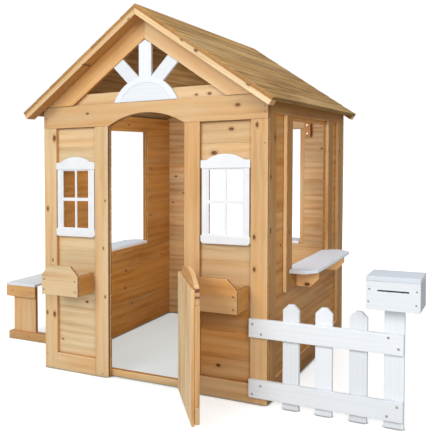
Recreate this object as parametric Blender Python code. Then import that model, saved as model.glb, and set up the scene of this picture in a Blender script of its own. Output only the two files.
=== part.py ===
"""Wooden garden playhouse: board walls on batten frames, a gabled board roof, an arched half door,
white windows, counters, sunburst, picket fence with a letter box, and a side bench. Metres, +Z up."""
import math

import bmesh
import bpy
from mathutils import Matrix, Vector

# ---- plan: house corner values before the shift that centres the part over the origin
SHIFT_X, SHIFT_Y = 0.512, 0.3902
GAP = 0.0003                 # clearance left between touching pieces
BATTEN = 0.0155              # thickness of every outer batten
BOARD = 0.0102               # thickness of the siding boards
WALL_W = 0.987               # width of the front wall
WALL_D = 0.976               # depth over front and back walls
DOOR_L, DOOR_R = 0.320, 0.661
HEADER_Z, HEADER_TOP = 0.985, 1.072
STILE = 0.063
WALL_TOP = 1.0648            # top of the side walls, just under the roof boards
PITCH = 0.0838               # siding board height
SEAM0 = 0.152                # a seam height that fixes the phase of all seams
GROOVE = 0.0022
RAIL_H = 0.068
MID = WALL_W / 2

# ---- roof
RIDGE_Z, EAVE_OUT, EAVE_Z = 1.420, 0.540, 1.051
ROOF_Y0, ROOF_Y1 = -0.0685, 1.0315
ROOF_T, RAFTER_T, RAFTER_W = 0.014, 0.018, 0.045
ROOF_BOARDS, LAP = 8, 0.002
TAN = (RIDGE_Z - EAVE_Z) / EAVE_OUT
ANGLE = math.atan(TAN)
COS, SIN = math.cos(ANGLE), math.sin(ANGLE)
RAKE_IN = 0.0958             # inner edge of the gable boards, square to the slope

# ---- openings and counters
OPEN_Y0, OPEN_Y1 = 0.252, 0.727
OPEN_Z0, OPEN_Z1 = 0.418, 1.007
UPRIGHT = 0.060
LEDGE_Z = 0.350
BACK_X0, BACK_X1 = 0.213, 0.774
COUNTER_T, COUNTER_OUT, COUNTER_CLIP = 0.013, 0.101, 0.040
COUNTER_EAR = 0.037

# ---- windows
WIN_X = (0.160, 0.8255)
WIN_T = 0.0152

# ---- flower boxes
BOX_X0 = (0.0735, 0.741)
BOX_W, BOX_OUT, BOX_WALL = 0.178, 0.100, 0.012
BOX_Z0, BOX_Z1, BOX_TOP, BOX_CLIP = 0.332, 0.410, 0.449, 0.038

# ---- door, built shut and then swung open about its pins
PIN = (0.6705, -0.0045)
SWING = math.radians(127.9)
DOOR_X0, DOOR_X1 = 0.333, 0.653
DOOR_Z0, DOOR_Z1, DOOR_CROWN = 0.022, 0.449, 0.491
DOOR_TOP_RAIL, DOOR_LOW_RAIL, DOOR_STILE = 0.400, 0.080, 0.056
HINGE_Z = (0.115, 0.345)
HINGE_H, LEAF_T, LEAF_W, KNUCKLE_R, PIN_R = 0.044, 0.0015, 0.030, 0.0034, 0.0015

# ---- fence and letter box
FENCE_X0, FENCE_X1 = 0.925, 1.4425
PICKETS = (1.044, 1.1575, 1.271)
PICKET_W, PICKET_TOP, PICKET_CLIP = 0.057, 0.357, 0.019
FENCE_RAILS = ((0.027, 0.090), (0.236, 0.300))
POST_X0, POST_TOP = 1.3805, 0.3817
MAIL_X0, MAIL_X1, MAIL_Y0, MAIL_Y1 = 1.334, 1.4955, -0.055, 0.060
MAIL_Z0, MAIL_Z1, LID_TOP, MAIL_WALL = 0.382, 0.4705, 0.485, 0.010
SLOT = (1.3685, 1.463, 0.4385, 0.4445)

# ---- bench
SEAT_X0, SEAT_X1, SEAT_Y0, SEAT_Y1, SEAT_Z0, SEAT_Z1 = -0.4725, -0.2915, 0.246, 0.730, 0.2572, 0.269
LEG_X0, LEG_X1, FOOT_X0, FOOT_H, APRON_Z = -0.441, -0.305, -0.457, 0.035, 0.204

for old in list(bpy.data.objects):
    bpy.data.objects.remove(old, do_unlink=True)


def material(name, color, rough, metal=0.0):
    mat = bpy.data.materials.new(name)
    mat.use_nodes = True
    shader = mat.node_tree.nodes["Principled BSDF"]
    shader.inputs["Base Color"].default_value = (*color, 1.0)
    shader.inputs["Roughness"].default_value = rough
    shader.inputs["Metallic"].default_value = metal
    mat.diffuse_color = (*color, 1.0)
    return mat


CEDAR = material("cedar", (0.72, 0.48, 0.24), 0.6)
ROOFWOOD = material("roof_cedar", (0.42, 0.31, 0.17), 0.7)
WHITE = material("white_paint", (0.86, 0.88, 0.90), 0.45)
PLASTIC = material("white_plastic", (0.88, 0.90, 0.92), 0.4)
STEEL = material("zinc_steel", (0.62, 0.63, 0.64), 0.35, 1.0)


def finish(name, bm, mat):
    bmesh.ops.remove_doubles(bm, verts=bm.verts, dist=1e-6)
    bmesh.ops.recalc_face_normals(bm, faces=bm.faces)
    mesh = bpy.data.meshes.new(name)
    bm.to_mesh(mesh)
    bm.free()
    mesh.transform(Matrix.Translation((-SHIFT_X, -SHIFT_Y, 0.0)))
    obj = bpy.data.objects.new(name, mesh)
    bpy.context.scene.collection.objects.link(obj)
    obj.data.materials.append(mat)
    return obj


def place(axis, a, b, c):
    """Plane values a, b and depth c as a point: depth along the named axis."""
    return {"x": Vector((c, a, b)), "y": Vector((a, c, b)), "z": Vector((a, b, c))}[axis]


def plate(name, outline, axis, lo, hi, mat, holes=()):
    """A flat board cut to an outline, with optional holes, standing from lo to hi along axis."""
    bm = bmesh.new()
    edges = []
    for loop in (outline, *holes):
        verts = [bm.verts.new(place(axis, a, b, lo)) for a, b in loop]
        edges += [bm.edges.new((verts[i], verts[(i + 1) % len(verts)])) for i in range(len(verts))]
    if holes:
        bmesh.ops.triangle_fill(bm, edges=edges, use_beauty=True, normal=place(axis, 0, 0, 1))
    else:
        bm.faces.new(bm.verts)
    base = bm.faces[:]
    grown = bmesh.ops.extrude_face_region(bm, geom=base)
    moved = [g for g in grown["geom"] if isinstance(g, bmesh.types.BMVert)]
    bmesh.ops.translate(bm, verts=moved, vec=place(axis, 0, 0, hi - lo))
    return finish(name, bm, mat)


def box(name, xs, ys, zs, mat):
    return plate(name, rect(xs[0], xs[1], ys[0], ys[1]), "z", zs[0], zs[1], mat)


def rect(a0, a1, b0, b1):
    return [(a0, b0), (a1, b0), (a1, b1), (a0, b1)]


def arc(cx, cz, r, a0, a1, n):
    """Points of a circular arc between two angles in degrees."""
    steps = [math.radians(a0 + (a1 - a0) * i / n) for i in range(n + 1)]
    return [(cx + r * math.cos(t), cz + r * math.sin(t)) for t in steps]


def crown(x0, x1, z_end, z_top, n):
    """A shallow arch from x0 to x1 through z_top at the middle."""
    half, rise = abs(x1 - x0) / 2, z_top - z_end
    r = (half * half + rise * rise) / (2 * rise)
    mid, cz = (x0 + x1) / 2, z_top - r
    a = math.degrees(math.asin(half / r))
    first, last = (90 + a, 90 - a) if x0 < x1 else (90 - a, 90 + a)
    return arc(mid, cz, r, first, last, n)


def siding(name, axis, u0, u1, z0, z1, outer, inner, holes, mat):
    """Tongue-and-groove boards as one sheet: a V groove at every seam of the outer face."""
    hole_u = sorted({v for h in holes for v in h[:2]} | {u0, u1})
    seams = []
    k = math.ceil((z0 + 0.01 - SEAM0) / PITCH)
    while SEAM0 + k * PITCH < z1 - 0.01:
        seams.append(SEAM0 + k * PITCH)
        k += 1
    rows = {z0: 0.0, z1: 0.0}
    for seam in seams:
        rows[seam] = GROOVE
        rows[seam - GROOVE] = 0.0
        rows[seam + GROOVE] = 0.0
    for h in holes:
        for z in h[2:]:
            near = [s for s in seams if abs(s - z) < GROOVE * 1.5]
            if not near:
                rows[z] = 0.0
    zs = sorted(rows)

    def snapped(z):
        return min(zs, key=lambda v: abs(v - z))

    cuts = [(h[0], h[1], snapped(h[2]), snapped(h[3])) for h in holes]

    def solid(i, j):
        if i < 0 or j < 0 or i >= len(hole_u) - 1 or j >= len(zs) - 1:
            return False
        u, z = (hole_u[i] + hole_u[i + 1]) / 2, (zs[j] + zs[j + 1]) / 2
        return not any(h[0] < u < h[1] and h[2] < z < h[3] for h in cuts)

    sign = 1.0 if inner > outer else -1.0
    bm = bmesh.new()
    front, back = {}, {}
    for i, u in enumerate(hole_u):
        for j, z in enumerate(zs):
            front[i, j] = bm.verts.new(place(axis, u, z, outer + sign * rows[z]))
            back[i, j] = bm.verts.new(place(axis, u, z, inner))
    for i in range(len(hole_u) - 1):
        for j in range(len(zs) - 1):
            if not solid(i, j):
                continue
            ring = [(i, j), (i + 1, j), (i + 1, j + 1), (i, j + 1)]
            bm.faces.new([front[k] for k in ring])
            bm.faces.new([back[k] for k in reversed(ring)])
            for n, (di, dj) in enumerate(((0, -1), (1, 0), (0, 1), (-1, 0))):
                if not solid(i + di, j + dj):
                    a, b = ring[n], ring[(n + 1) % 4]
                    bm.faces.new((front[a], back[a], back[b], front[b]))
    loose = [v for v in bm.verts if not v.link_faces]
    bmesh.ops.delete(bm, geom=loose, context="VERTS")
    return finish(name, bm, mat)


def boolean(obj, tool, operation):
    """Join or cut with a helper solid that isn't part of the object."""
    tool.hide_render = True
    tool.display_type = "WIRE"
    mod = obj.modifiers.new(operation.lower(), "BOOLEAN")
    mod.operation = operation
    mod.solver = "EXACT"
    mod.object = tool
    return obj


def batten_frame(name, axis, u0, u1, a0, a1, outer, inner, top, clip=0.0):
    """Corner battens, foot rail, head rail and the trimmer frame round the opening a0..a1."""
    rail = OPEN_Z1 if not clip else HEADER_Z + 0.002
    outline = [(u0, 0.0), (u1, 0.0), (u1, top - clip)]
    if clip:
        outline += [(u1 - clip / TAN, top), (u0 + clip / TAN, top)]
    outline.append((u0, top - clip))
    s0, s1 = u0 + (STILE if clip else STILE - 0.006), u1 - (STILE if clip else STILE - 0.003)
    surround = [
        (s0, RAIL_H), (s1, RAIL_H), (s1, rail), (a1 + UPRIGHT, rail), (a1 + UPRIGHT, LEDGE_Z),
        (a0 - UPRIGHT, LEDGE_Z), (a0 - UPRIGHT, rail), (s0, rail),
    ]
    return plate(name, outline, axis, inner, outer, CEDAR,
                 holes=(surround, rect(a0, a1, OPEN_Z0 - GAP, rail)))


def counter(name, axis, a0, a1, wall, inner, out, mat):
    """A shelf through the opening, wider outside, with clipped outer corners."""
    e0, e1 = a0 - COUNTER_EAR, a1 + COUNTER_EAR - 0.012
    side = math.copysign(1.0, out - wall)
    c = COUNTER_CLIP
    face = wall + side * GAP
    pts = [
        (inner, a0 + GAP), (face, a0 + GAP), (face, e0), (out - side * c, e0), (out, e0 + c),
        (out, e1 - c), (out - side * c, e1), (face, e1), (face, a1 - GAP), (inner, a1 - GAP),
    ]
    if axis == "y":
        pts = [(b, a) for a, b in pts]
    top = OPEN_Z0 + COUNTER_T
    return plate(name, pts, "z", top - COUNTER_T, top, mat)


# ---------------------------------------------------------------- front wall
siding_y0, siding_y1 = BATTEN + GAP, BATTEN + GAP + BOARD
wall_in = siding_y1
for side, x0, x1, win in (("left", 0.0, DOOR_L, WIN_X[0]), ("right", DOOR_R, WALL_W, WIN_X[1])):
    siding(f"front_{side}_siding", "y", x0, x1, 0.002, HEADER_Z - GAP, siding_y0, siding_y1,
           [(win - 0.0715, win + 0.0715, 0.581, 0.8155)], CEDAR)
    for edge, s0 in (("west", x0), ("east", x1 - STILE)):
        outside = (edge == "west") == (side == "left")
        tag = "corner" if outside else "door"
        box(f"front_{side}_stile_{tag}", (s0, s0 + STILE), (0.0, BATTEN), (0.0, HEADER_Z - GAP), CEDAR)
    box(f"front_{side}_foot_rail", (x0 + STILE + GAP, x1 - STILE - GAP), (0.0, BATTEN),
        (0.0, RAIL_H), CEDAR)

drop = RIDGE_Z - (ROOF_T + GAP) / COS
corner = (HEADER_TOP - (drop - MID * TAN)) + 0.0006
header = [(0.0, HEADER_Z), (0.324, HEADER_Z)] + crown(0.324, 0.660, HEADER_Z, 1.030, 24)[1:-1]
header += [(0.660, HEADER_Z), (WALL_W, HEADER_Z), (WALL_W, HEADER_TOP - corner),
           (WALL_W - corner / TAN, HEADER_TOP), (corner / TAN, HEADER_TOP), (0.0, HEADER_TOP - corner)]
plate("front_header", header, "y", 0.0, wall_in, CEDAR)
box("door_sill", (DOOR_L - 0.030, DOOR_R + 0.030), (wall_in + GAP, 0.045), (0.0, 0.026), CEDAR)

for side, cx in zip(("left", "right"), WIN_X):
    r = 0.012
    sill = arc(cx - 0.0965 + r, 0.549 + r, r, 180, 270, 4) + arc(cx + 0.0965 - r, 0.549 + r, r, 270, 360, 4)
    outline = sill + [(cx + 0.0965, 0.579), (cx + 0.0925, 0.579), (cx + 0.0925, 0.818),
                      (cx + 0.0965, 0.818), (cx + 0.0965, 0.849)]
    outline += crown(cx + 0.076, cx - 0.076, 0.852, 0.869, 12)
    outline += [(cx - 0.0965, 0.849), (cx - 0.0965, 0.818), (cx - 0.0925, 0.818),
                (cx - 0.0925, 0.579), (cx - 0.0965, 0.579)]
    panes = [rect(cx + s * 0.035 - 0.031, cx + s * 0.035 + 0.031, z0, z1)
             for s in (-1, 1) for z0, z1 in ((0.583, 0.692), (0.705, 0.813))]
    plate(f"window_{side}", outline, "y", 0.0, WIN_T, PLASTIC, holes=panes)

for side, x0 in zip(("left", "right"), BOX_X0):
    x1 = x0 + BOX_W
    board = [(x0, BOX_Z0), (x1, BOX_Z0), (x1, BOX_TOP - BOX_CLIP), (x1 - BOX_CLIP, BOX_TOP),
             (x0 + BOX_CLIP, BOX_TOP), (x0, BOX_TOP - BOX_CLIP)]
    bin_ = box(f"flower_box_{side}", (x0, x1), (-BOX_OUT + 0.004, BATTEN), (BOX_Z0, BOX_Z1), CEDAR)
    hollow = box(f"cut_flower_{side}", (x0 + BOX_WALL, x1 - BOX_WALL), (-BOX_OUT + BOX_WALL, 0.03),
                 (BOX_Z0 + BOX_WALL, BOX_Z1 + 0.02), CEDAR)
    boolean(bin_, hollow, "DIFFERENCE")
    panel = plate(f"add_flower_{side}", board, "y", -BOX_OUT, -BOX_OUT + BOX_WALL, CEDAR)
    boolean(bin_, panel, "UNION")

# ---------------------------------------------------------------- gables
apex_out = RIDGE_Z - (ROOF_T + GAP) / COS
apex_in = RIDGE_Z - RAKE_IN / COS
foot = HEADER_TOP + GAP
for side, sign in (("left", -1), ("right", 1)):
    split = MID + sign * GAP / 2
    half = [
        (split, apex_out - GAP / 2 * TAN),
        (MID + sign * (apex_out - foot) / TAN, foot),
        (MID + sign * (apex_in - foot) / TAN, foot),
        (split, apex_in - GAP / 2 * TAN),
    ]
    plate(f"gable_board_{side}", half, "y", -0.006, 0.0095, CEDAR)
tie_top = 1.115
tie = [(MID + s * (apex_out - z - 0.001) / TAN, z)
       for s, z in ((-1, foot), (1, foot), (1, tie_top), (-1, tie_top))]
plate("gable_tie_board", tie, "y", 0.0098, wall_in, CEDAR)

sun_z, sun_r, sun_y = 1.012, 0.152, (-0.003, 0.0095)
cut_a = math.degrees(math.asin((foot - sun_z) / sun_r))
sun = plate("gable_sunburst", arc(MID, sun_z, sun_r, cut_a, 180 - cut_a, 28), "y", *sun_y, WHITE)
mid_ray = [(MID - 0.027, 1.120), (MID + 0.027, 1.120), (MID + 0.027, apex_in - 0.0275 * TAN - GAP * 2),
           (MID, apex_in - GAP * 3), (MID - 0.027, apex_in - 0.0275 * TAN - GAP * 2)]
boolean(sun, plate("add_ray_mid", mid_ray, "y", *sun_y, WHITE), "UNION")
for side, sign in (("left", -1), ("right", 1)):
    root, half_w = Vector((MID, 1.100)), 0.025
    along, across = Vector((sign, 1.0)).normalized(), Vector((-1.0 * sign, 1.0)).normalized()
    ray = []
    for edge in (-1, 1):
        start = root + across * edge * half_w
        reach = (apex_in - GAP * 3 - sign * TAN * (start.x - MID) - start.y) / (along.y + sign * TAN * along.x)
        ray.append((start + along * 0.030, start + along * reach))
    pts = [tuple(ray[0][0]), tuple(ray[0][1]), tuple(ray[1][1]), tuple(ray[1][0])]
    boolean(sun, plate(f"add_ray_{side}", pts, "y", *sun_y, WHITE), "UNION")

back_out = WALL_D
outline = [(MID - (apex_out - foot - 0.0006) / TAN, foot), (MID + (apex_out - foot - 0.0006) / TAN, foot),
           (MID, apex_out - 0.0006)]
inside = [(MID - (apex_in - tie_top) / TAN, tie_top), (MID + (apex_in - tie_top) / TAN, tie_top),
          (MID, apex_in)]
plate("back_gable_frame", outline, "y", back_out - BATTEN, back_out, CEDAR, holes=(inside,))

# ---------------------------------------------------------------- roof
down = Vector((COS, -SIN))
normal = Vector((SIN, COS))
length = EAVE_OUT / COS
board_w = length / ROOF_BOARDS
for side, sign in (("left", -1), ("right", 1)):
    start = GAP / 2
    pts = [Vector((start, -start * TAN))]
    for i in range(ROOF_BOARDS):
        pts.append(down * (i + 1) * board_w)
        if i < ROOF_BOARDS - 1:
            pts.append(down * (i + 1) * board_w - normal * LAP)
    pts.append(down * length - normal * ROOF_T)
    pts.append(Vector((start, -ROOF_T / COS - start * TAN)))
    slope = [(MID + sign * p.x, RIDGE_Z + p.y) for p in pts]
    plate(f"roof_slope_{side}", slope, "y", ROOF_Y0, ROOF_Y1, ROOFWOOD)
    top, low = ROOF_T + GAP, ROOF_T + GAP + RAFTER_T
    rafter = [Vector((start, -top / COS - start * TAN)), down * length - normal * top,
              down * length - normal * low, Vector((start, -low / COS - start * TAN))]
    shape = [(MID + sign * p.x, RIDGE_Z + p.y) for p in rafter]
    plate(f"roof_rafter_front_{side}", shape, "y", ROOF_Y0, ROOF_Y0 + RAFTER_W, CEDAR)
    plate(f"roof_rafter_back_{side}", shape, "y", ROOF_Y1 - RAFTER_W, ROOF_Y1, CEDAR)

# ---------------------------------------------------------------- side walls
side_y0, side_y1 = wall_in + GAP, WALL_D - BATTEN - GAP - BOARD - GAP
for side, sign in (("right", 1), ("left", -1)):
    face = WALL_W if sign > 0 else 0.0
    skin0 = face - sign * (BATTEN + GAP)
    skin1 = skin0 - sign * BOARD
    batten_frame(f"{side}_wall_frame", "x", side_y0, side_y1, OPEN_Y0, OPEN_Y1,
                 face, face - sign * BATTEN, WALL_TOP)
    siding(f"{side}_wall_siding", "x", side_y0, side_y1, 0.002, WALL_TOP - 0.001, skin0, skin1,
           [(OPEN_Y0 - GAP, OPEN_Y1 + GAP, OPEN_Z0 - GAP, 0.992)], CEDAR)
    counter(f"{side}_counter", "x", OPEN_Y0, OPEN_Y1, face, skin1, face + sign * COUNTER_OUT, WHITE)
    bx = face + sign * GAP
    shape = [(bx, 0.355), (bx + sign * 0.056, 0.355), (bx + sign * 0.088, 0.387),
             (bx + sign * 0.088, OPEN_Z0 - GAP), (bx, OPEN_Z0 - GAP)]
    for tag, y in (("front", 0.300), ("back", 0.6635)):
        plate(f"{side}_bracket_{tag}", shape, "y", y, y + BATTEN, CEDAR)

# ---------------------------------------------------------------- back wall
back_skin = WALL_D - BATTEN - GAP
batten_frame("back_wall_frame", "y", 0.0, WALL_W, BACK_X0, BACK_X1, WALL_D, WALL_D - BATTEN,
             HEADER_TOP, clip=corner)
siding("back_wall_siding", "y", 0.0, WALL_W, 0.002, 1.047, back_skin, back_skin - BOARD,
       [(BACK_X0 - 0.024, BACK_X1 + 0.024, OPEN_Z0 - GAP, HEADER_Z + 0.002)], CEDAR)
counter("back_counter", "y", BACK_X0, BACK_X1, WALL_D, back_skin - BOARD, WALL_D + 0.094, WHITE)
box("back_wall_cleat", (0.803, 0.835), (back_skin - BOARD - 0.020, back_skin - BOARD - GAP),
    (0.945, 1.016), CEDAR)

# ---------------------------------------------------------------- door
pin = Vector((PIN[0] - SHIFT_X, PIN[1] - SHIFT_Y, 0.0))


def swing(obj):
    """Turn a piece that was built shut to its open rest, and put its origin on the pins' line."""
    turn = Matrix.Rotation(SWING, 4, "Z")
    obj.data.transform(turn @ Matrix.Translation(-pin))
    obj.location = pin
    return obj


doors = []
panel_pts = []
count = 4
width = (DOOR_X1 - DOOR_X0) / count
lay0, lay1 = BATTEN + GAP, BATTEN + GAP + BOARD
panel_pts.append((DOOR_X0, lay0))
for i in range(1, count):
    panel_pts += [(DOOR_X0 + i * width - 0.0015, lay0), (DOOR_X0 + i * width, lay0 + 0.0015),
                  (DOOR_X0 + i * width + 0.0015, lay0)]
panel_pts += [(DOOR_X1, lay0), (DOOR_X1, lay1)]
for i in range(count - 1, 0, -1):
    panel_pts += [(DOOR_X0 + i * width + 0.0015, lay1), (DOOR_X0 + i * width, lay1 - 0.0015),
                  (DOOR_X0 + i * width - 0.0015, lay1)]
panel_pts.append((DOOR_X0, lay1))
doors.append(plate("door_boards", panel_pts, "z", DOOR_Z0, DOOR_Z1, CEDAR))
low = DOOR_Z0 + 0.004
arch = [(DOOR_X0, DOOR_TOP_RAIL), (DOOR_X1, DOOR_TOP_RAIL)]
arch += crown(DOOR_X1, DOOR_X0, DOOR_Z1, DOOR_CROWN, 20)
doors.append(plate("door_top_rail", arch, "y", 0.0, BATTEN, CEDAR))
doors.append(box("door_bottom_rail", (DOOR_X0, DOOR_X1), (0.0, BATTEN), (low, DOOR_LOW_RAIL), CEDAR))
for tag, x0 in (("latch", DOOR_X0), ("hinge", DOOR_X1 - DOOR_STILE)):
    doors.append(box(f"door_{tag}_stile", (x0, x0 + DOOR_STILE), (0.0, BATTEN),
                     (DOOR_LOW_RAIL + GAP, DOOR_TOP_RAIL - GAP), CEDAR))
for obj in doors:
    swing(obj)


def rod(name, r, z0, z1, mat, n=32):
    return plate(name, arc(PIN[0], PIN[1], r, 0, 360 - 360 / n, n - 1), "z", z0, z1, mat)


for tag, zc in zip(("low", "high"), HINGE_Z):
    z0, z1 = zc - HINGE_H / 2, zc + HINGE_H / 2
    cut0, cut1 = zc - HINGE_H / 6, zc + HINGE_H / 6
    clear = KNUCKLE_R + 0.0008
    y0, y1 = -GAP - LEAF_T, -GAP
    for kind, sign in (("fixed", 1), ("moving", -1)):
        name = f"hinge_{tag}_{kind}_leaf"
        xa, xb = PIN[0] + sign * clear, PIN[0] + sign * LEAF_W
        if kind == "fixed":
            leaf = rod(name, PIN_R, z0, z1, STEEL)
            spans = ((z0, cut0 - GAP / 2), (cut1 + GAP / 2, z1))
        else:
            leaf = rod(name, KNUCKLE_R, cut0 + GAP / 2, cut1 - GAP / 2, STEEL)
            spans = ((cut0 + GAP / 2, cut1 - GAP / 2),)
        for n, (s0, s1) in enumerate(spans):
            if kind == "fixed":
                boolean(leaf, rod(f"add_{name}_k{n}", KNUCKLE_R, s0, s1, STEEL), "UNION")
            tongue = box(f"add_{name}_t{n}", sorted((PIN[0] + sign * 0.0012, xa + sign * 0.001)),
                         (y0, y1), (s0, s1), STEEL)
            boolean(leaf, tongue, "UNION")
        body = box(f"add_{name}_leaf", sorted((xa, xb)), (y0, y1), (z0, z1), STEEL)
        boolean(leaf, body, "UNION")
        if kind == "moving":
            bore = rod(f"cut_{name}", PIN_R + 0.0001, z0 - 0.001, z1 + 0.001, STEEL)
            boolean(leaf, bore, "DIFFERENCE")
            swing(leaf)
            for mod in leaf.modifiers:
                swing(mod.object)

# ---------------------------------------------------------------- fence
for tag, (z0, z1) in zip(("low", "high"), FENCE_RAILS):
    box(f"fence_rail_{tag}", (FENCE_X0, FENCE_X1), (-BATTEN, -GAP), (z0, z1), WHITE)
for i, x0 in enumerate(PICKETS):
    x1, c = x0 + PICKET_W, PICKET_CLIP
    pts = [(x0, 0.0), (x1, 0.0), (x1, PICKET_TOP - c), (x1 - c, PICKET_TOP), (x0 + c, PICKET_TOP),
           (x0, PICKET_TOP - c)]
    plate(f"fence_picket_{i + 1}", pts, "y", 0.0, BATTEN, WHITE)
box("fence_post", (POST_X0, FENCE_X1), (0.0, BATTEN), (0.0, POST_TOP), WHITE)

# ---------------------------------------------------------------- letter box
mail = box("letter_box", (MAIL_X0, MAIL_X1), (MAIL_Y0, MAIL_Y1), (MAIL_Z0, MAIL_Z1), WHITE)
w = MAIL_WALL
boolean(mail, box("cut_letter_inside", (MAIL_X0 + w, MAIL_X1 - w), (MAIL_Y0 + w, MAIL_Y1 - w),
                  (MAIL_Z0 + w, MAIL_Z1 + 0.02), WHITE), "DIFFERENCE")
boolean(mail, box("cut_letter_slot", SLOT[:2], (MAIL_Y0 - 0.01, MAIL_Y0 + w + 0.01), SLOT[2:], WHITE),
        "DIFFERENCE")
lid = box("letter_box_lid", (MAIL_X0 - 0.001, MAIL_X1 + 0.001), (MAIL_Y0 - 0.0015, MAIL_Y1),
          (MAIL_Z1 + GAP, LID_TOP), WHITE)
axis_point = Vector((0.0, MAIL_Y1 - SHIFT_Y, MAIL_Z1 + GAP))
lid.data.transform(Matrix.Translation(-axis_point))
lid.location = axis_point

# ---------------------------------------------------------------- bench
box("bench_seat", (SEAT_X0, SEAT_X1), (SEAT_Y0, SEAT_Y1), (SEAT_Z0, SEAT_Z1), WHITE)
for tag, sign, y in (("front", 1, SEAT_Y0 + 0.002), ("back", -1, SEAT_Y1 - 0.002)):
    end = box(f"bench_end_{tag}", (SEAT_X0, SEAT_X1), sorted((y, y + sign * 0.018)),
              (APRON_Z, SEAT_Z0 - GAP), CEDAR)
    leg = box(f"add_leg_{tag}", (LEG_X0, LEG_X1), sorted((y + sign * 0.0175, y + sign * 0.034)),
              (FOOT_H - 0.001, SEAT_Z0 - 0.001), CEDAR)
    boolean(end, leg, "UNION")
    base = box(f"add_foot_{tag}", (FOOT_X0, -GAP), sorted((y, y + sign * 0.038)), (0.0, FOOT_H), CEDAR)
    boolean(end, base, "UNION")
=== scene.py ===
"""Looks of the wooden garden playhouse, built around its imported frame. Metres, +Z up.

House coordinates below have their zero at the foot of the front left corner: X along the front wall,
Y from the front wall to the back. ORIGIN moves them into the frame."""
import math
import random

import bmesh
import bpy
from mathutils import Matrix, Vector


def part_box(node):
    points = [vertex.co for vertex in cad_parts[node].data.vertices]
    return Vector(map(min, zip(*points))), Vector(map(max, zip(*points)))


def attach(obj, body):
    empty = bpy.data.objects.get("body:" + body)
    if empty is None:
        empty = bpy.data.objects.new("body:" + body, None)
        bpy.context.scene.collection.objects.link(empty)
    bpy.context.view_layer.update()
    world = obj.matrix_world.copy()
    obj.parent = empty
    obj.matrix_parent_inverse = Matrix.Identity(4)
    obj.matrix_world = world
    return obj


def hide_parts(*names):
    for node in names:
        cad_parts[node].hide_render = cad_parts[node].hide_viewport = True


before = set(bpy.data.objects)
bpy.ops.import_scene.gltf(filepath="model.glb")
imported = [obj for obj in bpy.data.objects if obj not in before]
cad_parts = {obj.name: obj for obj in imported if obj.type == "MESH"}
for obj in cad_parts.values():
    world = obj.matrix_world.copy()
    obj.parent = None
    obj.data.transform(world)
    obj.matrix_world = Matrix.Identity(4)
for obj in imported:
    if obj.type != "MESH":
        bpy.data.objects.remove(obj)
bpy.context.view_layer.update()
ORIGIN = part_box("front_left_stile_corner")[0].copy()

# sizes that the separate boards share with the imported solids
GAP, BATTEN, BOARD = 0.0003, 0.0155, 0.0102
WALL_W, WALL_D, STILE, RAIL_H = 0.987, 0.976, 0.063, 0.068
MID = WALL_W / 2
DOOR_L, DOOR_R = 0.320, 0.661
HEADER_Z, HEADER_TOP, WALL_TOP = 0.985, 1.072, 1.0648
PITCH, SEAM0, LOW_ROWS = 0.0838, 0.152, 0.42
RIDGE_Z, EAVE_OUT, EAVE_Z = 1.420, 0.540, 1.051
ROOF_Y0, ROOF_Y1, ROOF_T = -0.0685, 1.0315, 0.014
RAFTER_T, RAFTER_W, ROOF_BOARDS, LAP = 0.018, 0.045, 8, 0.0012
TAN = (RIDGE_Z - EAVE_Z) / EAVE_OUT
COS, SIN = math.cos(math.atan(TAN)), math.sin(math.atan(TAN))
APEX_OUT = RIDGE_Z - (ROOF_T + GAP) / COS
APEX_IN = RIDGE_Z - 0.0958 / COS
FOOT = HEADER_TOP + GAP
OPEN_Y0, OPEN_Y1, OPEN_Z0, OPEN_Z1 = 0.252, 0.727, 0.418, 1.007
UPRIGHT, LEDGE_Z, BACK_X0, BACK_X1 = 0.060, 0.350, 0.213, 0.774
PIN, SWING = (0.6705, -0.0045), math.radians(127.9)


# ---- materials
KNOTS = "abcde"                         # a board has room for one knot per letter
KNOT_FREE, KNOT_LEAN = 1000.0, 0.0045   # a distance with no knot near, metres of lean
KNOT_DARK, KNOT_LIGHT, KNOT_RIM = (0.085, 0.026, 0.009), (0.26, 0.105, 0.036), (0.34, 0.165, 0.055)
HEART, RINGS_PER_METRE = (0.11, 0.17), 1150.0
# a bluish tint, painted shade on white paint, and the colour of bare wood where paint wears off
SHADE_TINT, BARE_WOOD = (0.955, 0.99, 1.06), (0.56, 0.45, 0.33)


def put_in_scene(name, data):
    """A new object in the scene."""
    obj = bpy.data.objects.new(name, data)
    bpy.context.scene.collection.objects.link(obj)
    return obj


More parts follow.
